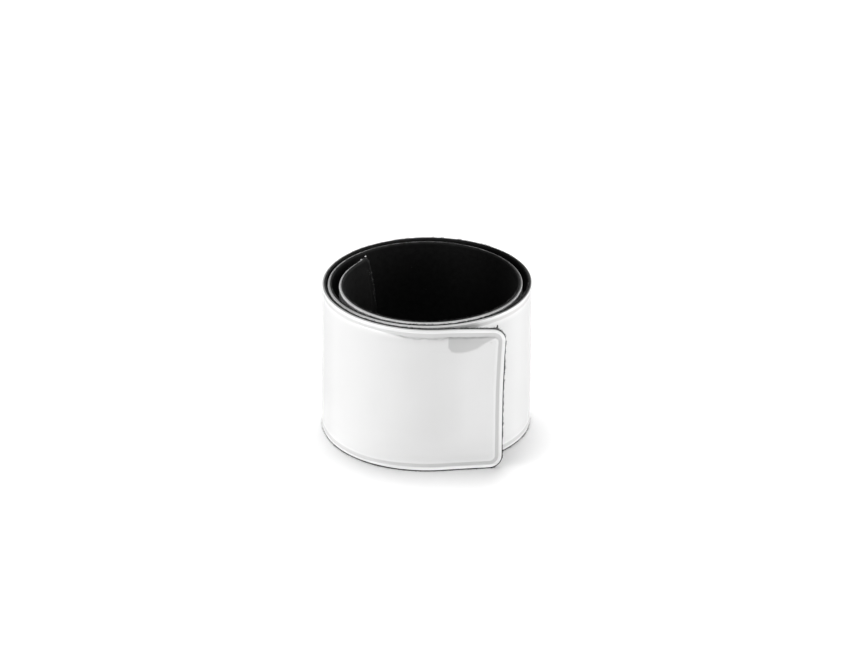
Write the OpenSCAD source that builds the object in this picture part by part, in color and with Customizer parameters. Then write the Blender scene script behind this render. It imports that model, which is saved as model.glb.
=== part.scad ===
// Reflective slap band, snapped into a coil of two and a half turns and standing on its long edge.
// Lengths are in millimetres. The origin is at the foot of the coil, in the middle of its outline.

/* [Strip] */
// Width of the strip, which is the height of the coil
strip_w = 30; // [24:1:40]
// Radius of the strip's rounded corners
corner_r = 2.5; // [2:0.5:4]
// Thickness of the reflective front
front_t = 0.45; // [0.3:0.05:0.5]
// Thickness of the flocked backing
backing_t = 0.29; // [0.2:0.01:0.35]
// Air left between the front and the backing
layer_gap = 0.02; // [0.01:0.01:0.03]
// Width of flock that shows round the edge of the front
flock_lip = 0.15; // [0:0.05:0.4]

/* [Weld line] */
// Distance from the strip's edge to the pressed weld line
weld_inset = 0.7; // [0.5:0.1:1]
// Width of the weld line
weld_w = 0.7; // [0.4:0.1:0.8]
// Depth of the weld line in the front
weld_depth = 0.1; // [0.05:0.05:0.15]
// Depth of the mark that the weld leaves in the flock
flock_mark = 0.06; // [0.02:0.02:0.1]

/* [Coil] */
// Direction in which the strip leaves its outer tip, counted from +X
tip_heading = 186.5; // [180:0.5:200]
// Length of the straight outer end
outer_end_l = 11.6; // [8:0.1:16]
// Length of the straight inner end
inner_end_l = 5.1; // [4.5:0.1:10]

/* [Hidden] */
// Columns of the table of bends: angle turned through, and radius of the strip's outer face
TURN = 0;
RADIUS = 1;
// The bends from the outer end inwards. Quarter turns, and a last slope of 3 to 4, meet on exact corners.
BENDS = [
    [90, 21.0], // front left
    [90, 21.1], // back left
    [90, 19.6], // back right
    [90, 20.6], // front right
    [90, 19.0], // front left, second turn
    [90, 19.4], // back left
    [90, 18.3], // back right
    [90, 18.7], // front right
    [90 + atan(3 / 4), 16.9] // front left, third turn, up to the straight inner end
];
LAST = len(BENDS) - 1;

// Thickness of the whole strip
strip_t = front_t + layer_gap + backing_t;
// How far a cut runs past the face that it opens
cut_over = 0.1;
// Segments of a full circle
$fn = 180;

// Columns of a layer: depths of its two faces below the strip's outer face, margin from the strip's edge,
// and the depths between which the weld line is cut
NEAR = 0;
FAR = 1;
MARGIN = 2;
CUT_NEAR = 3;
CUT_FAR = 4;
FRONT = [0, front_t, flock_lip, -cut_over, weld_depth];
BACKING = [front_t + layer_gap, strip_t, 0, strip_t - flock_mark, strip_t + cut_over];

// The coil is worked out with its outer tip at (0, 0) and its outer end along +X, and is turned at the end.
// Unit vector along a heading, and the one square to it that points into the coil
function ahead(h) = [cos(h), sin(h)];
function inward(h) = [sin(h), -cos(h)];

// Heading of the strip where bend i starts: each bend turns it clockwise, seen from above
function heading(i) = i == 0 ? 0 : heading(i - 1) - BENDS[i - 1][TURN];

// Point of the outer face where bend i starts
function bend_start(i) = i == 0
    ? [outer_end_l, 0]
    : centre(i - 1) - BENDS[i - 1][RADIUS] * inward(heading(i));

// Centre of bend i
function centre(i) = bend_start(i) + BENDS[i][RADIUS] * inward(heading(i));

// Whether bend i holds the point of its circle that lies furthest out towards the direction a
function passes(i, a) = floor((heading(i) + 90 - a) / 360) > floor((heading(i + 1) + 90 - a) / 360);

// How far the coil reaches from its tip towards the direction a, counted from the outer end's own direction
function reach(a) = max([for (i = [0:LAST]) if (passes(i, a)) centre(i) * ahead(a) + BENDS[i][RADIUS]]);

// Middle of the turned coil's outline, which is put on the origin
middle = [for (a = [0, 90]) reach(a - tip_heading) - reach(a + 180 - tip_heading)] / 2;

// Section of a layer, with the strip's outer face at x = 0 and the coil's inside towards -x
module layer_section(layer) {
    difference() {
        translate([-layer[FAR], layer[MARGIN]])
            square([layer[FAR] - layer[NEAR], strip_w - 2 * layer[MARGIN]]);
        for (z = [weld_inset, strip_w - weld_inset - weld_w])
            translate([-layer[CUT_FAR], z])
                square([layer[CUT_FAR] - layer[CUT_NEAR], weld_w]);
    }
}

// Outline of a straight end with its rounded tip at x = 0, drawn in by a margin all round
module end_outline(length, margin) {
    r = corner_r - margin;
    translate([corner_r, margin])
        square([length - corner_r, strip_w - 2 * margin]);
    translate([margin, corner_r])
        square([corner_r, strip_w - 2 * corner_r]);
    for (z = [corner_r, strip_w - corner_r])
        translate([corner_r, z])
            circle(r);
}

// One straight end of a layer, lying flat with the strip's outer face at z = 0
module straight_end(layer, length) {
    difference() {
        translate([0, 0, layer[NEAR]])
            linear_extrude(layer[FAR] - layer[NEAR])
                end_outline(length, layer[MARGIN]);
        translate([0, 0, layer[CUT_NEAR]])
            linear_extrude(layer[CUT_FAR] - layer[CUT_NEAR])
                difference() {
                    end_outline(length + cut_over, weld_inset);
                    end_outline(length + 2 * cut_over, weld_inset + weld_w);
                }
    }
}

// One bend of a layer round its own centre, starting on +X and running clockwise, seen from above
module bend(layer, turn, radius) {
    difference() {
        rotate_extrude(angle = -90 * ceil(turn / 90))
            translate([radius, 0])
                layer_section(layer);
        if (turn % 90 > 0)
            rotate(-turn)
                translate([0, -radius, -cut_over])
                    cube([2 * radius, radius, strip_w + 2 * cut_over]);
    }
}

// One layer of the strip, wound along the whole coil
module wound(layer) {
    translate(-middle)
        rotate(tip_heading) {
            rotate([90, 0, 0])
                straight_end(layer, outer_end_l);
            for (i = [0:LAST])
                translate(centre(i))
                    rotate(heading(i) + 90)
                        bend(layer, BENDS[i][TURN], BENDS[i][RADIUS]);
            translate(centre(LAST))
                rotate(heading(LAST + 1) + 90)
                    translate([BENDS[LAST][RADIUS], -inner_end_l])
                        rotate([90, 0, -90])
                            mirror([1, 0, 0])
                                straight_end(layer, inner_end_l);
        }
}

// White glossy film, welded to the backing along its border
module reflective_front() {
    color("white")
        wound(FRONT);
}

// Black velour, with its flock on the inside of the coil and showing all round the front
module flocked_backing() {
    color("#1a1a1c")
        wound(BACKING);
}

reflective_front();
flocked_backing();
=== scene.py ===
"""Looks of a reflective slap band: a strip of glossy white film welded to black velour, snapped into a coil.

Both layers are modelled flat, with their pressed border, and are then wound along the coil's path by
Geometry Nodes. In the flat state x runs along the strip from its outer tip, y up it, and z away from the
inside of the coil. Lengths are in metres. The coil stands on z = 0 with its middle on the origin.
"""
import math

import bmesh
import bpy
import numpy as np
from mathutils import Matrix, Vector


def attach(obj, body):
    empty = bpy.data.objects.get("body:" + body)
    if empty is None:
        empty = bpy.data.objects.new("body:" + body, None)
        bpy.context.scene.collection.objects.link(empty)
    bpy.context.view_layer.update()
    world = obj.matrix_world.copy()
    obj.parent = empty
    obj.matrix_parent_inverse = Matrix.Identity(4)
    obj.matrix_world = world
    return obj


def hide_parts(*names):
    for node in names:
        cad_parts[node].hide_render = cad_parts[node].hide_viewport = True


MM = 0.001

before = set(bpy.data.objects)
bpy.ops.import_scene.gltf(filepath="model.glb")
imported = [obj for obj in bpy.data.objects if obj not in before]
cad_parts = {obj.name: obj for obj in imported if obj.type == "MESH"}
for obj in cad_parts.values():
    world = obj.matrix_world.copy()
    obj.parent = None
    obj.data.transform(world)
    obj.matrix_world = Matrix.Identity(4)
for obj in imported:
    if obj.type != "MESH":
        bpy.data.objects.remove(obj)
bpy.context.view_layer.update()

# Strip, as in the part's source
STRIP_W = 30 * MM
FRONT_T = 0.45 * MM
BACKING_T = 0.29 * MM
LAYER_GAP = 0.02 * MM
STRIP_T = FRONT_T + LAYER_GAP + BACKING_T
FLOCK_LIP = 0.15 * MM

# Radius of each corner of the strip: the part's source has 2.5 mm for all four
INNER_BOTTOM_R = 2.5 * MM
INNER_TOP_R = 1.6 * MM
OUTER_TOP_R = 2.6 * MM
OUTER_BOTTOM_R = 2.6 * MM

# Velour that shows beyond the film at its foot, top and ends: the part's source has FLOCK_LIP all round. At
# the outer end it gets narrower towards the top, over a range of heights.
FOOT_LIP = 0.25 * MM
TOP_LIP = 0.08 * MM
OUTER_LIP = 0.18 * MM
OUTER_LIP_TOP = 0.06 * MM
OUTER_LIP_FALL = (24 * MM, 29 * MM)
INNER_LIP = 0.12 * MM

# Coil, as in the part's source: angle turned through in degrees, and radius of the outer face
TIP_HEADING = 186.5
OUTER_END_L = 11.6 * MM
INNER_END_L = 5.1 * MM
QUARTER = 90
BENDS = [
    (QUARTER, 21.0 * MM),
    (QUARTER, 21.1 * MM),
    (QUARTER, 19.6 * MM),
    (QUARTER, 20.6 * MM),
    (QUARTER, 19.0 * MM),
    (QUARTER, 19.4 * MM),
    (QUARTER, 18.3 * MM),
    (QUARTER, 18.7 * MM),
    (QUARTER + math.degrees(math.atan(3 / 4)), 16.9 * MM),
]
PATH_STEP = 0.25 * MM
PATH_LEAD = 1 * MM

# The spring blade arches the free inner end across its width. The outer end leans along the strip, most of
# all at its top, which leans outwards too. The foot of the outer turn flares on its left.
ARCH_H = 2.08 * MM
ARCH_REACH = 18 * MM
LEAN_LOW = 0.12 * MM
LEAN = 0.46 * MM
LEAN_FROM = 15 * MM
LEAN_REACH = 9 * MM
LEAN_OUT = 0.6 * MM
LEAN_OUT_REACH = 11 * MM
FLARE = 0.57 * MM
FLARE_AT = 25 * MM
FLARE_REACH = 22 * MM

# Grid of the modelled strips, and the width of the border round it that holds the rounded corners
BORDER_W = 3 * MM
FINE_COLUMN_STEP = 0.25 * MM
FINE_TO = 30 * MM
COLUMN_STEP = 0.6 * MM
FILM_ROW_STEP = 0.5 * MM
FINE_ROW_STEP = 0.25 * MM
FINE_ROWS_W = 3 * MM
VELOUR_ROW_STEP = 2 * MM
CORNER_STEPS = 12

# Border of the film, counted inwards from its edge: a rim, a pressed groove and a ridge. The weld is pressed
# hardest at the outer end, where its groove is wider under the top. Further on it runs nearer to the foot.
RIM_W = 0.63 * MM
GROOVE_W = 0.74 * MM
GROOVE_DEPTH = 0.1 * MM
GROOVE_SOFT = 0.18 * MM
RIM_H = 0.01 * MM
RIDGE_H = 0.04 * MM
LIGHT_PRESS = 0.45
LIGHT_PRESS_FROM = 14 * MM
LIGHT_PRESS_TO = 30 * MM
WIDER = 0.27 * MM
WIDER_FADE = (19 * MM, 23 * MM)
WELD_DRIFT = 0.2 * MM
WELD_DRIFT_FROM = 17 * MM
WELD_DRIFT_TO = 27 * MM
RIDGE_W = 0.42 * MM
FILM_TOP_EDGE_R = 0.35 * MM
FILM_FOOT_EDGE_R = 0.08 * MM
FILM_FOOT_R = 0.03 * MM

# Border of the velour, counted inwards from its edge. Near the foot its edge stands forwards under the film.
FLOCK_EDGE_R = 0.18 * MM
FOOT_BULGE = 0.35 * MM
FOOT_BULGE_W = 0.18 * MM
FOOT_BULGE_FADE = (1 * MM, 5 * MM)
FLOCK_GROOVE_DEPTH = 0.06 * MM

# Rings of a border, counted inwards: over the rounded edge, where they crowd towards the outline, then from
# just past it across the groove, and from past the groove on to the panel
FILM_EDGE_W = 0.25 * MM
VELOUR_EDGE_W = 0.35 * MM
EDGE_RINGS = 6
EDGE_CROWDING = 1.6
PAST_EDGE = 0.06 * MM
GROOVE_RINGS = 15
PAST_GROOVE = 1.6 * GROOVE_SOFT
INNER_RINGS = 9

# Panel of the film: it rises off the weld and lies in slow waves
PUFF_FROM = 1.65 * MM
PUFF_H = 0.06 * MM
PUFF_W = 1.6 * MM
WAVE_H = 0.04 * MM
WAVE_LENGTHS = ((31 * MM, 19 * MM), (17 * MM, 27 * MM), (11 * MM, 38 * MM))

# Thin wavering crease under the top border near the outer end: a line of painted shade with a soft painted
# shadow below it. Its fall is how much lower it lies, by the distance from the outer tip, and two beats of
# unequal length break its line.
CREASE_FROM = 1.6 * MM
CREASE_WAVER = 0.05 * MM
CREASE_WAVES = (0.9 * MM, 0.37 * MM)
CREASE_W = 0.2 * MM
CREASE_REACH = 0.8 * CREASE_W
CREASE_PAINTED_SHADOW = 0.3
CREASE_PAINTED_SHADOW_W = 0.35 * MM
CREASE_ENDS = (2 * MM, 6 * MM, 19 * MM, 22 * MM)
CREASE_FALL = [(10 * MM, -0.08 * MM), (13 * MM, 0.08 * MM), (17 * MM, 0.1 * MM), (20 * MM, -0.2 * MM)]
CREASE_BEATS = (0.31 * MM, 0.83 * MM)
CREASE_BREAK = 0.35

# Below the crease the panel rises steeply and settles further down
TOP_PUFF_H = 0.14 * MM
TOP_PUFF_W = 0.4 * MM
TOP_PUFF_ONSET = 0.12 * MM
TOP_PUFF_FADE = (18 * MM, 23 * MM)
TOP_PUFF_SETTLE = (6 * MM, 16 * MM)

# Bubble under the film near the outer end: the film has come loose above a bowed crest, up to the top
# border, and carries a painted dark reflection there. The crest's depth below the bubble's top goes by the
# distance from the outer tip.
BUBBLE_TOP = 1.5 * MM
BUBBLE_CREST = [
    (2.1 * MM, 0.2 * MM),
    (3.1 * MM, 0.8 * MM),
    (3.9 * MM, 1.25 * MM),
    (4.6 * MM, 1.8 * MM),
    (5.2 * MM, 2.3 * MM),
    (6.7 * MM, 2.85 * MM),
    (8.0 * MM, 3.1 * MM),
    (9.1 * MM, 3.1 * MM),
    (10.0 * MM, 2.85 * MM),
    (10.5 * MM, 2.15 * MM),
    (10.7 * MM, 0),
]
BUBBLE_DEPTH = 3.1 * MM
BUBBLE_SLOPE = 0.1
BUBBLE_FADE = 14 * MM
BUBBLE_SIDES = (2 * MM, 8 * MM, 10 * MM, 16 * MM)
BUBBLE_SOFT = 0.4 * MM

# Fibres of the velour's flock, which stand out round its edge in clumps. A clump's and a fibre's own length
# are shares of the full one, and tufts are longer fibres at (along, up, reach, extra share).
FIBRE_LENGTH = 0.4 * MM
FIBRE_WIDTH = 0.05 * MM
FIBRE_STEP = 0.03 * MM
FIBRE_LEAN = 0.7
FIBRE_SPREAD = 0.8 * BACKING_T
FIBRE_SEED = 3
SHORTEST_FIBRE = 0.5
CLUMP_SIZE = 1.0 * MM
CLUMP_NOISE = (0.3, 0.7)
CLUMP_LENGTHS = (0.1, 1.1)
TUFTS = [(1.6 * MM, 29.8 * MM, 0.5 * MM, 1.0), (0, 21.2 * MM, 0.4 * MM, 0.8)]

# Fibres near the floor: they keep clear of it, and below a height they are pushed forwards. What would reach
# below the floor is folded up and forwards, by shares of its depth.
FLOOR_CLEARANCE = 0.01 * MM
FLOOR_SHIFT = 0.32 * MM
FLOOR_SHIFT_H = 0.35 * MM
FLOOR_SPLAY = 0.3
FLOOR_REACH = 1.5

# Burrs of film at the inner end's top edge, as distances from the end, lint on the velour, and balls of
# flock at the outer end's top corner. A size is half a grain's length along the strip, up it and through it.
GRAIN_SEED = 7
GRAIN_SIZES = (0.7, 1.4)
BURRS = (0.25 * MM, 1.9 * MM)
BURR_SIZE = (0.22 * MM, 0.1 * MM, 0.1 * MM)
LINT_SEED = 4
LINT_COUNT = 40
END_LINT_COUNT = 45
END_LINT_W = 0.5 * MM
LINT_SIZE = (0.05 * MM, 0.05 * MM, 0.05 * MM)
FLOCK_BALLS = [(1.7 * MM, STRIP_W + 0.05 * MM), (1.6 * MM, STRIP_W + 0.35 * MM)]
FLOCK_BALL_SIZE = (0.17 * MM, 0.22 * MM, 0.17 * MM)

# Camera, from the photograph's edges: elevation, distance, point looked at, roll and pixels for a millimetre
CAM_ELEVATION = 25.98
CAM_DISTANCE = 1200 * MM
CAM_TARGET = Vector((-0.22 * MM, 0, 18.99 * MM))
CAM_ROLL = 0.438
CAM_PX_PER_MM = 5.164
PHOTO_W = 851
SENSOR_W = 36.0
CLIP_START = 0.01

# Light: a broad overhead lamp from slightly behind, and soft lobes of light as azimuth from the front,
# elevation and strength, each falling off as a power of the cosine
KEY_POWER = 2.4
KEY_SPREAD = 28
KEY_FROM = (-0.02, 0.26, 1)
LOBE_POWER = 8
SOFT_LOBES = [
    (80, 5, 5.7),
    (-80, 5, 4.4),
    (-60, 5, 2.1),
    (100, 5, 0.95),
    (-60, 35, 0.6),
    (60, 5, 0.4),
    (-100, 5, 0.2),
    (30, 5, 0.1),
]

# Floor: half its side, and its grey
FLOOR_HALF = 3.0
FLOOR_GREY = 0.9


# Path of the coil
def ahead(heading):
    return np.array([math.cos(heading), math.sin(heading)])


def inward(heading):
    return np.array([math.sin(heading), -math.cos(heading)])


def coil_points():
    """Points of the strip's outer face from the outer tip inwards, with the coil's middle on the origin."""
    heading = math.radians(TIP_HEADING)
    points = [np.zeros(2)]

    def straight(length):
        start = points[-1]
        steps = round(length / PATH_STEP)
        points.extend(start + ahead(heading) * length * k / steps for k in range(1, steps + 1))

    straight(OUTER_END_L)
    for degrees, radius in BENDS:
        turn = math.radians(degrees)
        centre = points[-1] + inward(heading) * radius
        steps = round(turn * radius / PATH_STEP)
        points.extend(centre - inward(heading - turn * k / steps) * radius for k in range(1, steps + 1))
        heading -= turn
    straight(INNER_END_L)
    points = np.array(points)
    return points - (points.min(axis=0) + points.max(axis=0)) / 2


def path_object(points):
    """The coil's path as a curve, with a straight lead before the outer tip."""
    lead = points[0] - ahead(math.radians(TIP_HEADING)) * PATH_LEAD
    curve = bpy.data.curves.new("coil_path", "CURVE")
    curve.dimensions = "3D"
    spline = curve.splines.new("POLY")
    spline.points.add(len(points))
    for point, (x, y) in zip(spline.points, [lead, *points]):
        point.co = (x, y, 0, 1)
    path = bpy.data.objects.new("coil_path", curve)
    bpy.context.scene.collection.objects.link(path)
    return path


path_points = coil_points()
STRIP_L = float(np.linalg.norm(np.diff(path_points, axis=0), axis=1).sum())


# Shape of a border
def smooth(low, high, value):
    t = min(max((value - low) / (high - low), 0.0), 1.0)
    return t * t * (3 - 2 * t)


def hump(middle, half_width, value):
    """1 at the middle, falling smoothly to 0 at half_width on either side."""
    return 1 - smooth(0, half_width, abs(value - middle))


def trough(start, end, soft, value):
    """1 between start and end, with soft flanks centred on both."""
    return smooth(start - soft / 2, start + soft / 2, value) - smooth(end - soft / 2, end + soft / 2, value)


def rounded_edge(radius, inset):
    """Drop of a rounded edge at a distance inset from the outline."""
    t = 1 - min(inset / radius, 1.0)
    return -radius * (1 - math.sqrt(1 - t * t))


def widened(s, z):
    """1 under the top of the outer end, where the groove is wider."""
    return smooth(STRIP_W - BORDER_W, STRIP_W - BORDER_W / 2, z) * (1 - smooth(*WIDER_FADE, s))


def from_weld(s, z, inset):
    """Distance in from the film's edge, as it counts for the weld."""
    near_foot = 1 - smooth(BORDER_W / 2, BORDER_W, z)
    drift = WELD_DRIFT * near_foot * smooth(WELD_DRIFT_FROM, WELD_DRIFT_TO, s) * smooth(0, RIM_W / 2, inset)
    wider = WIDER * widened(s, z)
    across = min(max((inset - RIM_W) / (GROOVE_W + wider), 0), 1)
    return inset + drift - wider * across


def film_height(s, z, weld):
    groove_end = RIM_W + GROOVE_W
    pressed = 1 - (1 - LIGHT_PRESS) * smooth(LIGHT_PRESS_FROM, LIGHT_PRESS_TO, s)
    ridge = RIDGE_H * hump(groove_end + RIDGE_W / 2, RIDGE_W, weld) * (1 - widened(s, z))
    groove = GROOVE_DEPTH * trough(RIM_W, groove_end, GROOVE_SOFT, weld)
    return RIM_H * hump(RIM_W / 2, RIM_W / 2, weld) + pressed * (ridge - groove)


def flock_height(inset):
    start = RIM_W + FLOCK_LIP
    groove = FLOCK_GROOVE_DEPTH * trough(start, start + GROOVE_W, GROOVE_SOFT, inset)
    return rounded_edge(FLOCK_EDGE_R, inset) - groove


def foot_bulge(z, inset):
    return FOOT_BULGE * (1 - smooth(0, FOOT_BULGE_W, inset)) * (1 - smooth(*FOOT_BULGE_FADE, z))


# Shape of the film's panel
def panel_wave(s, z):
    return sum(
        math.sin(2 * math.pi * s / along + k) * math.cos(2 * math.pi * z / up + 2 * k)
        for k, (along, up) in enumerate(WAVE_LENGTHS)
    ) / len(WAVE_LENGTHS)


def below_crease(s, z):
    """Distance down from the wavering line of the crease."""
    long, short = CREASE_WAVES
    waver = CREASE_WAVER * (math.sin(s / long) + math.sin(s / short + 1))
    fall = float(np.interp(s, *zip(*CREASE_FALL)))
    return STRIP_W - FLOCK_LIP - CREASE_FROM - waver - fall - z


def crease(s, z):
    """Painted shade: 1 on the crease's broken line and a soft painted shadow below it, fading to its ends.
    """
    start, full, fading, end = CREASE_ENDS
    along = smooth(start, full, s) * (1 - smooth(fading, end, s))
    short, long = CREASE_BEATS
    broken = 1 - CREASE_BREAK + CREASE_BREAK * math.sin(s / short) * math.sin(s / long + 2)
    below = below_crease(s, z)
    line = broken * hump(CREASE_W / 2, CREASE_REACH, below)
    fading_out = math.exp(-max(below - CREASE_W, 0) / CREASE_PAINTED_SHADOW_W)
    shadow = CREASE_PAINTED_SHADOW * smooth(0, CREASE_W, below) * fading_out
    return along * max(line, shadow)


def top_puff(s, z):
    below = below_crease(s, z)
    rise = smooth(0, TOP_PUFF_ONSET, below) * (1 - math.exp(-max(below, 0) / TOP_PUFF_W))
    return TOP_PUFF_H * rise * (1 - smooth(*TOP_PUFF_FADE, s)) * (1 - smooth(*TOP_PUFF_SETTLE, below))


def below_border(z):
    return max(STRIP_W - FLOCK_LIP - BUBBLE_TOP - z, 0)


def bubble(s, z):
    """Slope from the top border down to the depth of the crest, then a broad fall below it."""
    below = below_border(z)
    start, full, fading, end = BUBBLE_SIDES
    side = smooth(start, full, s) * (1 - smooth(fading, end, s))
    fall = 1 - smooth(BUBBLE_DEPTH, BUBBLE_DEPTH + BUBBLE_FADE, below)
    return BUBBLE_SLOPE * side * min(below, BUBBLE_DEPTH) * fall


def loose(s, z):
    """Painted dark reflection: 1 where the film is loose, between the top border and the bowed crest, soft
    at its edge.
    """
    depth = float(np.interp(s, *zip(*BUBBLE_CREST), left=0, right=0))
    below = below_border(z)
    return smooth(-BUBBLE_SOFT / 2, BUBBLE_SOFT / 2, depth - below) * smooth(0, BUBBLE_SOFT / 2, below)


def panel_height(s, z, inset):
    rise = smooth(PUFF_FROM, PUFF_FROM + PUFF_W, inset)
    return rise * (PUFF_H + WAVE_H * panel_wave(s, z)) + top_puff(s, z) + bubble(s, z)


# Flat strips
class FlatStrip:
    """Mesh of a flat strip.

    A closed run of rings follows the outline, from the panel of one face over the edge to that of the other,
    and a grid of columns and rows closes each panel. Drawn in by the border, the outline is the grid's own.
    """

    def __init__(self, margin, row_step, top_row_step):
        self.margin = margin
        self.border = BORDER_W - margin
        fine = self.steps(BORDER_W, FINE_TO, FINE_COLUMN_STEP)
        self.columns = np.concatenate([fine[:-1], self.steps(FINE_TO, STRIP_L - BORDER_W, COLUMN_STEP)])
        low, high = BORDER_W, STRIP_W - BORDER_W
        rows = self.steps(low, high - FINE_ROWS_W, row_step)
        self.rows = np.concatenate([rows[:-1], self.steps(high - FINE_ROWS_W, high, top_row_step)])
        self.outline = self.walk()
        self.points = []
        self.insets = []
        self.faces = []

    def steps(self, low, high, step):
        return np.linspace(low, high, round((high - low) / step) + 1)

    def walk(self):
        """Grid point, outward angle and corner radius round the outline, anticlockwise from lower left."""
        last_c, last_r = len(self.columns) - 1, len(self.rows) - 1
        sides = [
            ([(c, 0) for c in range(last_c + 1)], 270, INNER_BOTTOM_R),
            ([(last_c, r) for r in range(last_r + 1)], 0, INNER_TOP_R),
            ([(c, last_r) for c in range(last_c, -1, -1)], 90, OUTER_TOP_R),
            ([(0, r) for r in range(last_r, -1, -1)], 180, OUTER_BOTTOM_R),
        ]
        walked = []
        for cells, facing, radius in sides:
            walked += [(cell, facing, None) for cell in cells]
            turned = [facing + 90 * k / CORNER_STEPS for k in range(1, CORNER_STEPS)]
            walked += [(cells[-1], angle, radius - self.margin) for angle in turned]
        return walked

    def ring(self, inset, height):
        """One turn round the outline, drawn in by an inset, with each corner's own radius less the inset."""
        first = len(self.points)
        for (c, r), angle, corner in self.outline:
            out_s, out_z = math.cos(math.radians(angle)), math.sin(math.radians(angle))
            reach = self.border - inset
            slide = 0.0
            if corner is not None:
                reach = max(corner - inset, 0)
                slide = self.border - max(corner, inset)
            s = self.columns[c] + reach * out_s + slide * math.copysign(1, out_s)
            z = self.rows[r] + reach * out_z + slide * math.copysign(1, out_z)
            self.points.append((s, z, height))
            self.insets.append(inset)
        return list(range(first, len(self.points)))

    def seen_panel(self, height, flipped):
        """Full grid of one face's panel; returns its border in the outline's order."""
        first = len(self.points)
        count = len(self.rows)
        for s in self.columns:
            for z in self.rows:
                self.points.append((s, z, height))
                self.insets.append(self.border + min(z - self.rows[0], self.rows[-1] - z))
        for c in range(len(self.columns) - 1):
            for r in range(count - 1):
                a = first + c * count + r
                self.add((a, a + count, a + count + 1, a + 1), flipped)
        return [first + c * count + r for (c, r), _, _ in self.outline]

    def hidden_panel(self, height, flipped):
        """Panel of the face against the other layer, one tall face for each column; returns its border."""
        last_c, last_r = len(self.columns) - 1, len(self.rows) - 1
        border = {}
        for cell, _, _ in self.outline:
            if cell not in border:
                border[cell] = len(self.points)
                self.points.append((self.columns[cell[0]], self.rows[cell[1]], height))
                self.insets.append(self.border)
        for c in range(last_c):
            right = [border[c + 1, r] for r in range(last_r + 1) if c + 1 == last_c or r in (0, last_r)]
            left = [border[c, r] for r in range(last_r + 1) if c == 0 or r in (0, last_r)]
            self.add((*right, *left[::-1]), flipped)
        return [border[cell] for cell, _, _ in self.outline]

    def bridge(self, inner, outer):
        """Faces between two neighbouring rings, facing away from the coil where outer is the wider one."""
        for k in range(len(inner)):
            n = (k + 1) % len(inner)
            self.add((inner[k], outer[k], outer[n], inner[n]), flipped=False)

    def add(self, corners, flipped):
        face = [v for k, v in enumerate(corners) if v != corners[k - 1]]
        if len(face) > 2:
            self.faces.append(face[::-1] if flipped else face)

    def build(self, profile, seen_outside):
        """Builds the faces over (inset, height) from the outer face's panel round to the inner face's."""
        first, last = self.hidden_panel, self.seen_panel
        if seen_outside:
            first, last = last, first
        ring = first(profile[0][1], flipped=False)
        for inset, height in profile[1:-1]:
            wider = self.ring(inset, height)
            self.bridge(ring, wider)
            ring = wider
        self.bridge(ring, last(profile[-1][1], flipped=True))

    def made(self, name, **measured):
        """The strip as an object, with its places in millimetres as a UV map and measures as attributes."""
        mesh = bpy.data.meshes.new(name)
        mesh.from_pydata(self.points, [], self.faces)
        uv = mesh.uv_layers.new(name="strip")
        places = np.array(self.points)[[loop.vertex_index for loop in mesh.loops]][:, :2]
        uv.data.foreach_set("uv", (places / MM).ravel())
        for label, values in measured.items():
            mesh.attributes.new(label, "FLOAT", "POINT").data.foreach_set("value", values)
        mesh.polygons.foreach_set("use_smooth", [True] * len(mesh.polygons))
        return flat_object(name, mesh)


def flat_object(name, mesh):
    made = bpy.data.objects.new(name, mesh)
    bpy.context.scene.collection.objects.link(made)
    return made


def edge_insets(border, groove_start, first):
    """Distances from the outline at which a border gets a ring; first is the width of its edge."""
    groove_end = groove_start + GROOVE_W
    near = np.linspace(0, 1, EDGE_RINGS) ** EDGE_CROWDING * first
    groove = np.linspace(first + PAST_EDGE, groove_end + GROOVE_SOFT, GROOVE_RINGS)
    inner = np.linspace(groove_end + PAST_GROOVE, border, INNER_RINGS)
    return np.concatenate([near, groove, inner])


def edge_drop(z, inset):
    """Drop of the film's rounded edge, which is rounder at the top than at the foot."""
    up = min(max(z / STRIP_W, 0), 1)
    return rounded_edge(FILM_FOOT_EDGE_R + (FILM_TOP_EDGE_R - FILM_FOOT_EDGE_R) * up, inset)


def cut_share(z, inset):
    """1 on the cut along the film's top, falling to 0 over its rounded edge."""
    near_top = smooth(STRIP_W - BORDER_W, STRIP_W - BORDER_W / 2, z)
    return -near_top * edge_drop(z, inset) / FILM_TOP_EDGE_R


def laid(s, z):
    """Place on the strip of a point of the film, with a lip of its own on each side."""
    along = (s - FLOCK_LIP) / (STRIP_L - 2 * FLOCK_LIP)
    up = (z - FLOCK_LIP) / (STRIP_W - 2 * FLOCK_LIP)
    outer_lip = OUTER_LIP + (OUTER_LIP_TOP - OUTER_LIP) * smooth(*OUTER_LIP_FALL, z)
    film_s = outer_lip + along * (STRIP_L - outer_lip - INNER_LIP)
    film_z = FOOT_LIP + up * (STRIP_W - FOOT_LIP - TOP_LIP)
    return film_s, film_z


def film_strip():
    strip = FlatStrip(FLOCK_LIP, FILM_ROW_STEP, FINE_ROW_STEP)
    insets = edge_insets(strip.border, RIM_W, FILM_EDGE_W)
    outer = [(d, 0.0) for d in insets[::-1]]
    foot = [(FILM_FOOT_R * k, -FRONT_T + FILM_FOOT_R * (1 - k)) for k in (0, 1)]
    back = [(strip.border / 2, -FRONT_T), (strip.border, -FRONT_T)]
    strip.build(outer + foot + back, seen_outside=True)
    # Shares of painted shade along the crease
    crease_painted_shades = [crease(s, z) for s, z, _ in strip.points]
    painted_reflection_shares = [loose(s, z) for s, z, _ in strip.points]
    cut = [cut_share(z, inset) for (_, z, _), inset in zip(strip.points, strip.insets)]
    welds = [from_weld(s, z, inset) for (s, z, _), inset in zip(strip.points, strip.insets)]
    for k, ((s, z, height), inset) in enumerate(zip(strip.points, strip.insets)):
        if height > -FRONT_T / 2:
            height += film_height(s, z, welds[k]) + edge_drop(z, inset) + panel_height(s, z, inset)
        strip.points[k] = (*laid(s, z), height)
    return strip.made("film", inset=np.array(welds) / MM, crease=crease_painted_shades, loose=painted_reflection_shares, cut=cut)


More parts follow.
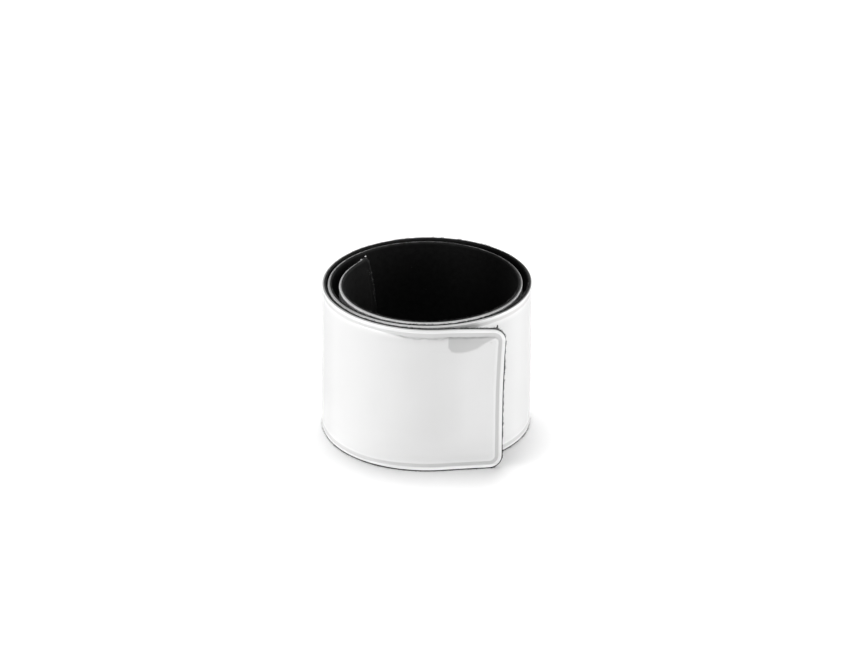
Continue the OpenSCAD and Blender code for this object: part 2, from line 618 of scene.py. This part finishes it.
def velour_strip():
    strip = FlatStrip(0, VELOUR_ROW_STEP, VELOUR_ROW_STEP)
    top = -FRONT_T - LAYER_GAP
    insets = edge_insets(strip.border, RIM_W + FLOCK_LIP, VELOUR_EDGE_W)
    inner = [(d, -STRIP_T - flock_height(d)) for d in insets]
    edge = [(FOOT_BULGE_W, top), (FLOCK_EDGE_R / 2, top), (0, top - FLOCK_EDGE_R / 3)]
    strip.build([(strip.border, top), (strip.border / 2, top), *edge, *inner], seen_outside=False)
    for k, ((s, z, height), inset) in enumerate(zip(strip.points, strip.insets)):
        if height > top - FLOCK_EDGE_R / 2:
            strip.points[k] = (s, z, height + foot_bulge(z, inset))
    return strip.made("velour", inset=np.array(strip.insets) / MM)


def edge_line():
    """Line round the velour's edge, halfway through it, with the outside on its left."""
    strip = FlatStrip(0, VELOUR_ROW_STEP, VELOUR_ROW_STEP)
    strip.ring(0, -(FRONT_T + LAYER_GAP + STRIP_T) / 2)
    points = strip.points[::-1]
    mesh = bpy.data.meshes.new("flock_fringe")
    mesh.from_pydata(points, [(k, (k + 1) % len(points)) for k in range(len(points))], [])
    return flat_object("flock_fringe", mesh)


def grains(name, places, size):
    """Tiny uneven grains at flat places (along, up, through)."""
    rng = np.random.default_rng(GRAIN_SEED)
    made = bmesh.new()
    for place in places:
        stretch = Matrix.Diagonal((*(np.array(size) * rng.uniform(*GRAIN_SIZES, 3)), 1))
        turned = Matrix.Rotation(rng.uniform(0, math.pi), 4, "X")
        placed = Matrix.Translation(place) @ turned @ stretch
        bmesh.ops.create_icosphere(made, subdivisions=1, radius=1, matrix=placed)
    mesh = bpy.data.meshes.new(name)
    made.to_mesh(mesh)
    made.free()
    return flat_object(name, mesh)


def burr_grains():
    height = -FRONT_T / 2
    return grains("film_burrs", [(STRIP_L - back, STRIP_W, height) for back in BURRS], BURR_SIZE)


def lint_grains():
    rng = np.random.default_rng(LINT_SEED)
    along = rng.uniform(BORDER_W, STRIP_L - BORDER_W, LINT_COUNT)
    up = rng.uniform(BORDER_W, STRIP_W - BORDER_W, LINT_COUNT)
    at_end = STRIP_L - np.abs(rng.normal(0, END_LINT_W, END_LINT_COUNT))
    up_end = STRIP_W - INNER_TOP_R - rng.exponential(STRIP_W / 4, END_LINT_COUNT)
    places = [*zip(along, up), *zip(at_end, np.maximum(up_end, INNER_BOTTOM_R))]
    return grains("velour_lint", [(s, z, -STRIP_T) for s, z in places], LINT_SIZE)


def flock_balls():
    height = -(FRONT_T + LAYER_GAP + STRIP_T) / 2
    return grains("flock_balls", [(s, z, height) for s, z in FLOCK_BALLS], FLOCK_BALL_SIZE)


# Nodes
class Nodes:
    """Short calls that add nodes to a tree."""

    def __init__(self, tree):
        self.tree = tree

    def add(self, kind, inputs, **settings):
        """Adds a node; inputs maps a socket's name or number to a value or to another node's output."""
        node = self.tree.nodes.new(kind)
        for name, value in settings.items():
            setattr(node, name, value)
        for socket, value in inputs.items():
            if isinstance(value, bpy.types.NodeSocket):
                self.tree.links.new(value, node.inputs[socket])
            else:
                node.inputs[socket].default_value = value
        return node.outputs

    def math(self, operation, *values, **settings):
        return self.add("ShaderNodeMath", dict(enumerate(values)), operation=operation, **settings)[0]

    def vector(self, operation, *values):
        return self.add("ShaderNodeVectorMath", dict(enumerate(values)), operation=operation)

    def negative(self, value):
        return self.math("MULTIPLY", value, -1.0)

    def ramp(self, value, low, high, start, end):
        ends = {"From Min": low, "From Max": high, "To Min": start, "To Max": end}
        made = self.add("ShaderNodeMapRange", {"Value": value, **ends}, interpolation_type="SMOOTHSTEP")
        return made["Result"]


# Geometry Nodes
class Tree(Nodes):
    """A geometry node tree with the inputs that every piece has."""

    def __init__(self, name):
        super().__init__(bpy.data.node_groups.new(name, "GeometryNodeTree"))
        self.source = self.tree.nodes.new("NodeGroupInput")
        self.tree.interface.new_socket("Geometry", in_out="OUTPUT", socket_type="NodeSocketGeometry")
        for socket, kind in (("Geometry", "Geometry"), ("Path", "Object"), ("Material", "Material")):
            self.socket(socket, kind)

    def socket(self, name, kind):
        self.tree.interface.new_socket(name, in_out="INPUT", socket_type="NodeSocket" + kind)

    def given(self, name):
        return self.source.outputs[name]

    def finish(self, geometry):
        """Winds the geometry and ends the tree in Realize Instances and Set Material."""
        wound = wind(self, geometry)
        real = self.add("GeometryNodeRealizeInstances", {"Geometry": wound})["Geometry"]
        paint = {"Geometry": real, "Material": self.given("Material")}
        painted = self.add("GeometryNodeSetMaterial", paint)["Geometry"]
        self.add("NodeGroupOutput", {"Geometry": painted})
        return self.tree


def bent(tree, s, z, height):
    """Place along the path and height over it of a flat point, with the bends that the path doesn't have."""
    near_inner = tree.ramp(s, STRIP_L - ARCH_REACH, STRIP_L, 0.0, 1.0)
    across = tree.math("DIVIDE", tree.math("SUBTRACT", z, STRIP_W / 2), STRIP_W / 2)
    arch = tree.math("SUBTRACT", 1.0, tree.math("MULTIPLY", across, across))
    sunk = tree.math("MULTIPLY", tree.math("MULTIPLY", arch, near_inner), ARCH_H)
    height_share = tree.ramp(z, 0.0, STRIP_W, 0.0, 1.0)
    leaning = tree.math("MULTIPLY", tree.ramp(s, 0.0, LEAN_OUT_REACH, LEAN_OUT, 0.0), height_share)
    off = tree.math("ABSOLUTE", tree.math("SUBTRACT", s, FLARE_AT))
    low = tree.math("SUBTRACT", 1.0, tree.math("DIVIDE", z, STRIP_W))
    flare = tree.math("MULTIPLY", tree.ramp(off, 0.0, FLARE_REACH, FLARE, 0.0), low)
    level = tree.math("ADD", tree.math("SUBTRACT", height, sunk), tree.math("ADD", leaning, flare))
    near_outer = tree.ramp(s, 0.0, LEAN_REACH, 1.0, 0.0)
    lean = tree.math("MULTIPLY", tree.ramp(z, LEAN_FROM, STRIP_W, LEAN_LOW, LEAN), near_outer)
    along = tree.math("ADD", tree.math("SUBTRACT", s, lean), PATH_LEAD)
    return along, level


def wind(tree, geometry):
    """Adds the nodes that wind flat geometry along the path.

    The path runs clockwise seen from above, so winding mirrors the geometry, and its faces are flipped back.
    """
    position = tree.add("GeometryNodeInputPosition", {})["Position"]
    s, z, height = tree.add("ShaderNodeSeparateXYZ", {0: position})
    along, level = bent(tree, s, z, height)
    path = tree.add("GeometryNodeObjectInfo", {"Object": tree.given("Path")})["Geometry"]
    curve = {"Curves": path, "Length": along}
    sample = tree.add("GeometryNodeSampleCurve", curve, mode="LENGTH", use_all_curves=True)
    tx, ty, _ = tree.add("ShaderNodeSeparateXYZ", {0: sample["Tangent"]})
    outward = tree.add("ShaderNodeCombineXYZ", {"X": tree.negative(ty), "Y": tx})[0]
    unit = tree.vector("NORMALIZE", outward)[0]
    reach = tree.add("ShaderNodeVectorMath", {0: unit, "Scale": level}, operation="SCALE")[0]
    up = tree.add("ShaderNodeCombineXYZ", {"Z": z})[0]
    placed = tree.vector("ADD", tree.vector("ADD", sample["Position"], reach)[0], up)[0]
    moved = tree.add("GeometryNodeSetPosition", {"Geometry": geometry, "Position": placed})["Geometry"]
    return tree.add("GeometryNodeFlipFaces", {"Mesh": moved})["Mesh"]


def strip_tree():
    tree = Tree("wound_strip")
    return tree.finish(tree.given("Geometry"))


def fringe_tree():
    """Short tapered fibres along a flat line, leaning at random, in clumps of uneven length."""
    tree = Tree("fibre_fringe")
    for name in ("Length", "Width", "Spacing", "Lean", "Thickness", "Clearance"):
        tree.socket(name, "Float")
    tree.socket("Seed", "Int")
    curve = tree.add("GeometryNodeMeshToCurve", {"Mesh": tree.given("Geometry")})["Curve"]
    along = {"Curve": curve, "Length": tree.given("Spacing")}
    points = tree.add("GeometryNodeCurveToPoints", along, mode="LENGTH")
    seed = tree.given("Seed")
    half = tree.math("MULTIPLY", tree.given("Thickness"), 0.5)
    depth = tree.add("FunctionNodeRandomValue", {2: tree.negative(half), 3: half, "Seed": seed})[1]
    offset = tree.add("ShaderNodeCombineXYZ", {"Z": depth})[0]
    shifted = {"Geometry": points["Points"], "Offset": offset}
    spread = tree.add("GeometryNodeSetPosition", shifted)["Geometry"]
    tx, ty, _ = tree.add("ShaderNodeSeparateXYZ", {0: points["Tangent"]})
    outward = tree.add("ShaderNodeCombineXYZ", {"X": tree.negative(ty), "Y": tx})[0]
    lean = tree.given("Lean")
    least = tree.add("ShaderNodeCombineXYZ", {k: tree.negative(lean) for k in range(3)})[0]
    most = tree.add("ShaderNodeCombineXYZ", {k: lean for k in range(3)})[0]
    stray = {0: least, 1: most, "Seed": tree.math("ADD", seed, 1.0)}
    leaning = tree.add("FunctionNodeRandomValue", stray, data_type="FLOAT_VECTOR")[0]
    pointing = tree.vector("ADD", outward, leaning)[0]
    turn = tree.add("FunctionNodeAlignRotationToVector", {"Vector": pointing}, axis="Z")["Rotation"]
    fibre = {
        "Vertices": 3,
        "Radius Top": 0.0,
        "Radius Bottom": tree.math("MULTIPLY", tree.given("Width"), 0.5),
        "Depth": tree.given("Length"),
    }
    cone = tree.add("GeometryNodeMeshCone", fibre, fill_type="NGON")["Mesh"]
    stretch = tree.add("ShaderNodeCombineXYZ", {"X": 1.0, "Y": 1.0, "Z": fibre_size(tree, seed)})[0]
    placed = {"Points": spread, "Instance": cone, "Rotation": turn, "Scale": stretch}
    fibres = tree.add("GeometryNodeInstanceOnPoints", placed)["Instances"]
    real = tree.add("GeometryNodeRealizeInstances", {"Geometry": fibres})["Geometry"]
    return tree.finish(splayed(tree, real))


def fibre_size(tree, seed):
    """Length of each fibre as a share of the full one: random, in clumps, and longer at the tufts."""
    position = tree.add("GeometryNodeInputPosition", {})["Position"]
    place = {"Vector": position, "Scale": 1 / CLUMP_SIZE, "Detail": 1.0}
    clump = tree.ramp(tree.add("ShaderNodeTexNoise", place)[0], *CLUMP_NOISE, *CLUMP_LENGTHS)
    shares = {2: SHORTEST_FIBRE, 3: 1.0, "Seed": tree.math("ADD", seed, 2.0)}
    each = tree.add("FunctionNodeRandomValue", shares)[1]
    size = tree.math("MULTIPLY", clump, each)
    level = tree.vector("MULTIPLY", position, (1, 1, 0))[0]
    for along, up, reach, extra in TUFTS:
        away = tree.vector("DISTANCE", level, (along, up, 0))["Value"]
        size = tree.math("ADD", size, tree.math("MULTIPLY", tree.ramp(away, 0.0, reach, extra, 0.0), each))
    return size


def splayed(tree, geometry):
    """Pushes the fibres near the floor forwards, and folds what would reach below it forwards along it."""
    position = tree.add("GeometryNodeInputPosition", {})["Position"]
    x, y, height = tree.add("ShaderNodeSeparateXYZ", {0: position})
    sunk = tree.math("MAXIMUM", tree.negative(y), 0.0)
    above = tree.math("MAXIMUM", y, tree.given("Clearance"))
    lifted = tree.math("ADD", above, tree.math("MULTIPLY", sunk, FLOOR_SPLAY))
    shifted = tree.math("ADD", height, tree.ramp(y, 0.0, FLOOR_SHIFT_H, FLOOR_SHIFT, 0.0))
    forwards = tree.math("ADD", shifted, tree.math("MULTIPLY", sunk, FLOOR_REACH))
    kept = tree.add("ShaderNodeCombineXYZ", {"X": x, "Y": lifted, "Z": forwards})[0]
    return tree.add("GeometryNodeSetPosition", {"Geometry": geometry, "Position": kept})["Geometry"]


def apply_tree(made, group, values):
    """Runs a node tree on an object with its named inputs set, and keeps the result as a plain mesh."""
    modifier = made.modifiers.new("shape", "NODES")
    modifier.node_group = group
    for item in group.interface.items_tree:
        if item.item_type == "SOCKET" and item.in_out == "INPUT" and item.name in values:
            modifier[item.identifier] = values[item.name]
    depsgraph = bpy.context.evaluated_depsgraph_get()
    depsgraph.update()
    evaluated = made.evaluated_get(depsgraph)
    mesh = bpy.data.meshes.new_from_object(evaluated, preserve_all_data_layers=True, depsgraph=depsgraph)
    mesh.name = made.name
    made.modifiers.remove(modifier)
    made.data = mesh
    return made


# Materials
class Finish(Nodes):
    """A Principled material whose fixed values sit on the shader's own sockets."""

    def __init__(self, name, **sockets):
        self.material = bpy.data.materials.new(name)
        self.material.use_nodes = True
        super().__init__(self.material.node_tree)
        self.shader = self.tree.nodes["Principled BSDF"]
        for socket, value in sockets.items():
            self.shader.inputs[socket.replace("_", " ")].default_value = value

    def measure(self, name):
        return self.add("ShaderNodeAttribute", {}, attribute_name=name)["Fac"]

    def flat_place(self):
        return self.add("ShaderNodeUVMap", {}, uv_map="strip")["UV"]

    def place(self):
        return self.add("ShaderNodeTexCoord", {})["Object"]

    def shade(self, value, stops):
        """Colour ramp over greys given as (place, grey)."""
        node = self.tree.nodes.new("ShaderNodeValToRGB")
        ramp = node.color_ramp
        while len(ramp.elements) < len(stops):
            ramp.elements.new(0.5)
        for element, (place, grey) in zip(ramp.elements, stops):
            element.position = place
            element.color = (grey, grey, grey, 1)
        self.tree.links.new(value, node.inputs["Fac"])
        return node.outputs["Color"]

    def mix(self, share, a, b):
        return self.add("ShaderNodeMix", {0: share, 6: a, 7: b}, data_type="RGBA")[2]

    def multiply(self, a, b):
        mixed = self.add("ShaderNodeMix", {0: 1.0, 6: a, 7: b}, data_type="RGBA", blend_type="MULTIPLY")
        return mixed[2]

    def bump(self, height, relief):
        self.link(self.add("ShaderNodeBump", {"Height": height, **relief})[0], "Normal")

    def link(self, output, socket):
        self.tree.links.new(output, self.shader.inputs[socket])


# Border of the film: its greys from the cut edge to the panel, and where its weld line is darkened, by the
# distance in from its edge as a share of BORDER_SHADE_W. The weld line's darkening is partly the thinned
# film's own grey and partly painted shade, which is darkest at the outer end. Here and below, places along
# and up the strip are in millimetres.
BORDER_SHADE_W = 2.5
FILM_GREYS = [
    (0.24, 0.84),
    (0.3, 0.75),
    (0.54, 0.75),
    # The ridge past the groove is a touch lighter: a painted highlight
    (0.6, 0.81),
    (0.68, 0.8),
    (0.76, 0.76),
]
WELD_AND_PAINTED_SHADE_BAND = [(0.235, 0.0), (0.285, 1.0), (0.50, 1.0), (0.56, 0.0)]
WELD_AND_PAINTED_SHADE_DARKEST = 0.2
WELD_AND_PAINTED_SHADE_LIGHTEST = 0.12
WELD_FADE = 24

# Painted light and shade on the film's rim along the foot: lighter near the outer end and darker further on
FOOT_RIM_H = (0.8, 1.0)
FOOT_RIM_PAINTED_LIGHT = 0.22
FOOT_RIM_PAINTED_SHADE = -0.04
FOOT_RIM_TURNS = (13, 24)

# Painted shade of the crease and its shadow, and the painted dark reflection on the loose film: how much
# darker they are than the panel
CREASE_PAINTED_SHADE = 0.42
LOOSE_PAINTED_REFLECTION = 0.25

# Painted shade: a slow dark band in the film's grey along the strip, by the distance from its tip as a share
# of the length given first below. It sets in over a range of heights.
PANEL_PAINTED_SHADE_L = 30
PANEL_PAINTED_SHADE_RISE = (2, 9)
PANEL_PAINTED_SHADE = [(0.0, 1.0), (0.13, 1.0), (0.23, 1.0), (0.32, 0.95), (0.43, 0.93), (0.57, 0.95), (0.8, 0.98)]

# Painted light up the strip: the film's grey is lighter near the foot and under the top border, by the
# height as a share of its width
UP_PAINTED_LIGHT = [(0.0, 1.0), (0.06, 0.99), (0.16, 0.94), (0.3, 0.93), (0.92, 0.93), (0.932, 0.98)]

# Blotches of the film, and the fine beads under it
BLOTCHES = {"Scale": 0.11, "Detail": 1.5, "Roughness": 0.4}
BLOTCH_GREYS = [(0.3, 0.98), (0.7, 1.0)]
BEAD_SCALE = 9.0
BEAD_RELIEF = {"Strength": 0.2, "Distance": 0.003 * MM}

# Cut along the film's top, darker and more matt than the face. On the coil's flanks painted shade darkens
# it further: most on the right flank, and the left one has a share of that.
CUT_SHADE = [(0.0, 1.0), (0.15, 0.95), (0.5, 0.5)]
CUT_FLANK_PAINTED_SHADE = [(0.0, 1.0), (0.15, 0.92), (0.45, 0.28), (0.8, 0.08)]
CUT_FLANK_FROM = 8 * MM
CUT_FLANK_TO = 16 * MM
CUT_LEFT_PAINTED_SHADE = 0.35
GLOSS_ENDS = 0.2
FACE_ROUGHNESS = 0.13
CUT_ROUGHNESS = 0.8
FACE_METALLIC = 0.17

# Painted shade: the film is greyer on the coil's two flanks, by the distance from its middle plane
FLANK_FROM = 17 * MM
FLANK_TO = 20.3 * MM
FLANK_PAINTED_SHADE = 0.88


def border_grey(finish, along):
    """Greys across the film's border, with the weld line darkened partly by its own grey, partly by painted
    shade.
    """
    share = finish.math("DIVIDE", finish.measure("inset"), BORDER_SHADE_W, use_clamp=True)
    # Painted shade on the weld line, strongest at the outer end, on top of the weld's own grey
    darkness = finish.ramp(along, 0.0, WELD_FADE, WELD_AND_PAINTED_SHADE_DARKEST, WELD_AND_PAINTED_SHADE_LIGHTEST)
    pressed = finish.math("MULTIPLY", finish.shade(share, WELD_AND_PAINTED_SHADE_BAND), darkness)
    return finish.multiply(finish.shade(share, FILM_GREYS), finish.math("SUBTRACT", 1.0, pressed))


def panel_grey(finish, along, up):
    """Painted shade along the strip and painted light up it, with the film's own blotches."""
    blotch = finish.add("ShaderNodeTexNoise", {"Vector": finish.flat_place(), **BLOTCHES})[0]
    place = finish.math("DIVIDE", along, PANEL_PAINTED_SHADE_L, use_clamp=True)
    risen = finish.ramp(up, *PANEL_PAINTED_SHADE_RISE, 0.0, 1.0)
    # Painted shade band along the strip, fading out near the foot
    panel = finish.mix(risen, (1, 1, 1, 1), finish.shade(place, PANEL_PAINTED_SHADE))
    height = finish.math("DIVIDE", up, STRIP_W / MM, use_clamp=True)
    slow = finish.multiply(finish.shade(blotch, BLOTCH_GREYS), panel)
    # Painted light near the foot and under the top border
    return finish.multiply(slow, finish.shade(height, UP_PAINTED_LIGHT))


def foot_rim_painted_light(finish, along, up):
    rim = finish.ramp(up, *FOOT_RIM_H, 1.0, 0.0)
    # Painted light on the foot's rim near the outer end, painted shade further on
    change = finish.ramp(along, *FOOT_RIM_TURNS, FOOT_RIM_PAINTED_LIGHT, FOOT_RIM_PAINTED_SHADE)
    return finish.math("MULTIPLY_ADD", rim, change, 1.0)


def flank_painted_shade(finish, x, cut):
    """Painted shade of the film on the coil's flanks, and the grey of its cut edge, with more painted shade
    on it there.
    """
    # Painted shade on the flanks
    face = finish.ramp(finish.math("ABSOLUTE", x), FLANK_FROM, FLANK_TO, 1.0, FLANK_PAINTED_SHADE)
    # Painted shade on the cut edge, most on the right flank, a share of it on the left
    right = finish.ramp(x, CUT_FLANK_FROM, CUT_FLANK_TO, 0.0, 1.0)
    left = finish.ramp(x, -CUT_FLANK_TO, -CUT_FLANK_FROM, CUT_LEFT_PAINTED_SHADE, 0.0)
    flank = finish.math("ADD", left, right)
    edge = finish.mix(flank, finish.shade(cut, CUT_SHADE), finish.shade(cut, CUT_FLANK_PAINTED_SHADE))
    return finish.multiply(edge, face)


def film_material():
    finish = Finish("reflective_film", Specular_IOR_Level=0.05)
    uv = finish.flat_place()
    along, up, _ = finish.add("ShaderNodeSeparateXYZ", {0: uv})
    x = finish.add("ShaderNodeSeparateXYZ", {0: finish.place()})[0]
    cut = finish.measure("cut")
    colour = finish.multiply(border_grey(finish, along), panel_grey(finish, along, up))
    colour = finish.multiply(colour, foot_rim_painted_light(finish, along, up))
    colour = finish.multiply(colour, flank_painted_shade(finish, x, cut))
    # Painted shade on the crease and a painted dark reflection on the loose film
    for name, darkness in (("crease", CREASE_PAINTED_SHADE), ("loose", LOOSE_PAINTED_REFLECTION)):
        kept = finish.math("MULTIPLY_ADD", finish.measure(name), -darkness, 1.0)
        colour = finish.multiply(colour, kept)
    finish.link(colour, "Base Color")
    finish.link(finish.ramp(cut, 0.0, GLOSS_ENDS, FACE_ROUGHNESS, CUT_ROUGHNESS), "Roughness")
    finish.link(finish.ramp(cut, 0.0, GLOSS_ENDS, FACE_METALLIC, 0.0), "Metallic")
    beads = finish.add("ShaderNodeTexVoronoi", {"Vector": uv, "Scale": BEAD_SCALE})["Distance"]
    finish.bump(beads, BEAD_RELIEF)
    return finish.material


# Velour: painted light makes it lighter at its upper edge, by the distance in from it and the height, and
# painted shade makes it darker on the coil's right
VELOUR_EDGE_PAINTED_LIGHT_BAND = [(0.0, 1.0), (0.2, 1.0), (0.5, 0.0)]
VELOUR_EDGE_FROM = 21
VELOUR_EDGE_TO = 26
VELOUR_EDGE_PAINTED_LIGHT = 0.4
VELOUR_INNER_SHADE = 0.34
# Painted shade on the coil's right: where it starts and ends across x, and its darkest share
RIGHT_PAINTED_SHADE_FROM = 4 * MM
RIGHT_PAINTED_SHADE_TO = 15 * MM
RIGHT_PAINTED_SHADE_DARKEST = 0.3

# Patches and nap of the velour
PATCHES = {"Scale": 0.8, "Detail": 6.0, "Roughness": 0.7}
PATCH_GREYS = [(0.3, 0.024), (0.7, 0.04)]
NAP = {"Scale": 9.0, "Detail": 3.0, "Roughness": 0.7}
NAP_RELIEF = {"Strength": 0.6, "Distance": 0.1 * MM}
VELOUR_SHEEN = {"Sheen_Weight": 0.025, "Sheen_Roughness": 0.4}

# Values of the noise between which a small piece goes from its darker to its lighter grey
MOTTLE_ENDS = (0.35, 0.65)


def velour_material():
    finish = Finish("black_velour", Roughness=1.0, Specular_IOR_Level=0.0, **VELOUR_SHEEN)
    uv = finish.flat_place()
    patches = finish.add("ShaderNodeTexNoise", {"Vector": uv, **PATCHES})[0]
    up = finish.add("ShaderNodeSeparateXYZ", {0: uv})[1]
    # Painted light along the velour's upper edge
    extra = finish.ramp(up, VELOUR_EDGE_FROM, VELOUR_EDGE_TO, 0.0, VELOUR_EDGE_PAINTED_LIGHT)
    lighter = finish.multiply(finish.shade(finish.measure("inset"), VELOUR_EDGE_PAINTED_LIGHT_BAND), extra)
    edge = finish.math("ADD", lighter, VELOUR_INNER_SHADE)
    x = finish.add("ShaderNodeSeparateXYZ", {0: finish.place()})[0]
    # Painted shade on the coil's right
    right_painted_shade = finish.ramp(x, RIGHT_PAINTED_SHADE_FROM, RIGHT_PAINTED_SHADE_TO, 1.0, RIGHT_PAINTED_SHADE_DARKEST)
    greys = finish.multiply(finish.shade(patches, PATCH_GREYS), right_painted_shade)
    finish.link(finish.multiply(greys, edge), "Base Color")
    finish.bump(finish.add("ShaderNodeTexNoise", {"Vector": uv, **NAP})[0], NAP_RELIEF)
    return finish.material


def mottled(name, scale, greys, **sockets):
    """Matt material whose grey varies from place to place."""
    finish = Finish(name, Roughness=1.0, **sockets)
    grain = {"Vector": finish.place(), "Scale": scale, "Detail": 2.0}
    patches = finish.add("ShaderNodeTexNoise", grain)[0]
    finish.link(finish.shade(patches, list(zip(MOTTLE_ENDS, greys))), "Base Color")
    return finish.material


# Studio
def floor():
    mesh = bpy.data.meshes.new("floor")
    corners = [(-1, -1), (1, -1), (1, 1), (-1, 1)]
    mesh.from_pydata([(x * FLOOR_HALF, y * FLOOR_HALF, 0) for x, y in corners], [], [(0, 1, 2, 3)])
    made = flat_object("floor", mesh)
    colour = (FLOOR_GREY, FLOOR_GREY, FLOOR_GREY, 1)
    mesh.materials.append(Finish("white_floor", Base_Color=colour, Roughness=0.9).material)


def direction(azimuth, elevation):
    """Unit vector, with the azimuth counted from the front towards +X."""
    a, e = math.radians(azimuth), math.radians(elevation)
    return Vector((math.sin(a) * math.cos(e), -math.cos(a) * math.cos(e), math.sin(e)))


def sky(scene):
    """Soft light from several sides, each lobe fading with the angle from its middle."""
    world = bpy.data.worlds.new("studio")
    world.use_nodes = True
    nodes = Nodes(world.node_tree)
    towards = nodes.add("ShaderNodeTexCoord", {})["Generated"]
    total = 0.0
    for azimuth, elevation, strength in SOFT_LOBES:
        facing = nodes.vector("DOT_PRODUCT", towards, direction(azimuth, elevation))["Value"]
        lobe = nodes.math("POWER", nodes.math("MAXIMUM", facing, 0.0), LOBE_POWER)
        total = nodes.math("MULTIPLY_ADD", lobe, strength, total)
    background = world.node_tree.nodes["Background"]
    background.inputs["Color"].default_value = (1, 1, 1, 1)
    world.node_tree.links.new(total, background.inputs["Strength"])
    scene.world = world


def key_light():
    light = bpy.data.lights.new("key", "SUN")
    light.energy = KEY_POWER
    light.angle = math.radians(KEY_SPREAD)
    made = flat_object("key", light)
    made.rotation_euler = (-Vector(KEY_FROM)).to_track_quat("-Z", "Y").to_euler()


def studio():
    scene = bpy.context.scene
    scene.view_settings.view_transform = "Standard"
    sky(scene)
    key_light()
    floor()


def camera():
    data = bpy.data.cameras.new("camera")
    focal_px = CAM_PX_PER_MM * CAM_DISTANCE / MM
    data.sensor_width = SENSOR_W
    data.lens = focal_px / PHOTO_W * SENSOR_W
    data.clip_start = CLIP_START
    made = flat_object("camera", data)
    back = direction(0, CAM_ELEVATION)
    look = (-back).to_track_quat("-Z", "Y").to_matrix()
    roll = Matrix.Rotation(math.radians(CAM_ROLL), 3, "Z")
    made.matrix_world = Matrix.Translation(CAM_TARGET + back * CAM_DISTANCE) @ (look @ roll).to_4x4()
    bpy.context.scene.camera = made


camera()
studio()
path = path_object(path_points)
wound, fringed = strip_tree(), fringe_tree()
film_finish, velour_finish = film_material(), velour_material()
flock_finish = mottled("black_flock", scale=3000, greys=(0.03, 0.08), Specular_IOR_Level=0.1)
burr_finish = mottled("film_burr", scale=4000, greys=(0.5, 0.7), Specular_IOR_Level=0.3)
lint_finish = mottled("grey_lint", scale=4000, greys=(0.1, 0.2), Specular_IOR_Level=0.1)
fringe_sizes = {
    "Length": FIBRE_LENGTH,
    "Width": FIBRE_WIDTH,
    "Spacing": FIBRE_STEP,
    "Lean": FIBRE_LEAN,
    "Thickness": FIBRE_SPREAD,
    "Clearance": FLOOR_CLEARANCE,
    "Seed": FIBRE_SEED,
}
film = apply_tree(film_strip(), wound, {"Path": path, "Material": film_finish})
velour = apply_tree(velour_strip(), wound, {"Path": path, "Material": velour_finish})
fringe = apply_tree(edge_line(), fringed, {"Path": path, "Material": flock_finish, **fringe_sizes})
burrs = apply_tree(burr_grains(), wound, {"Path": path, "Material": burr_finish})
lint = apply_tree(lint_grains(), wound, {"Path": path, "Material": lint_finish})
balls = apply_tree(flock_balls(), wound, {"Path": path, "Material": flock_finish})
bpy.data.objects.remove(path)

for piece in (film, velour, fringe, burrs, lint, balls):
    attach(piece, "root")
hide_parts("reflective_front")
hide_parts("flocked_backing")
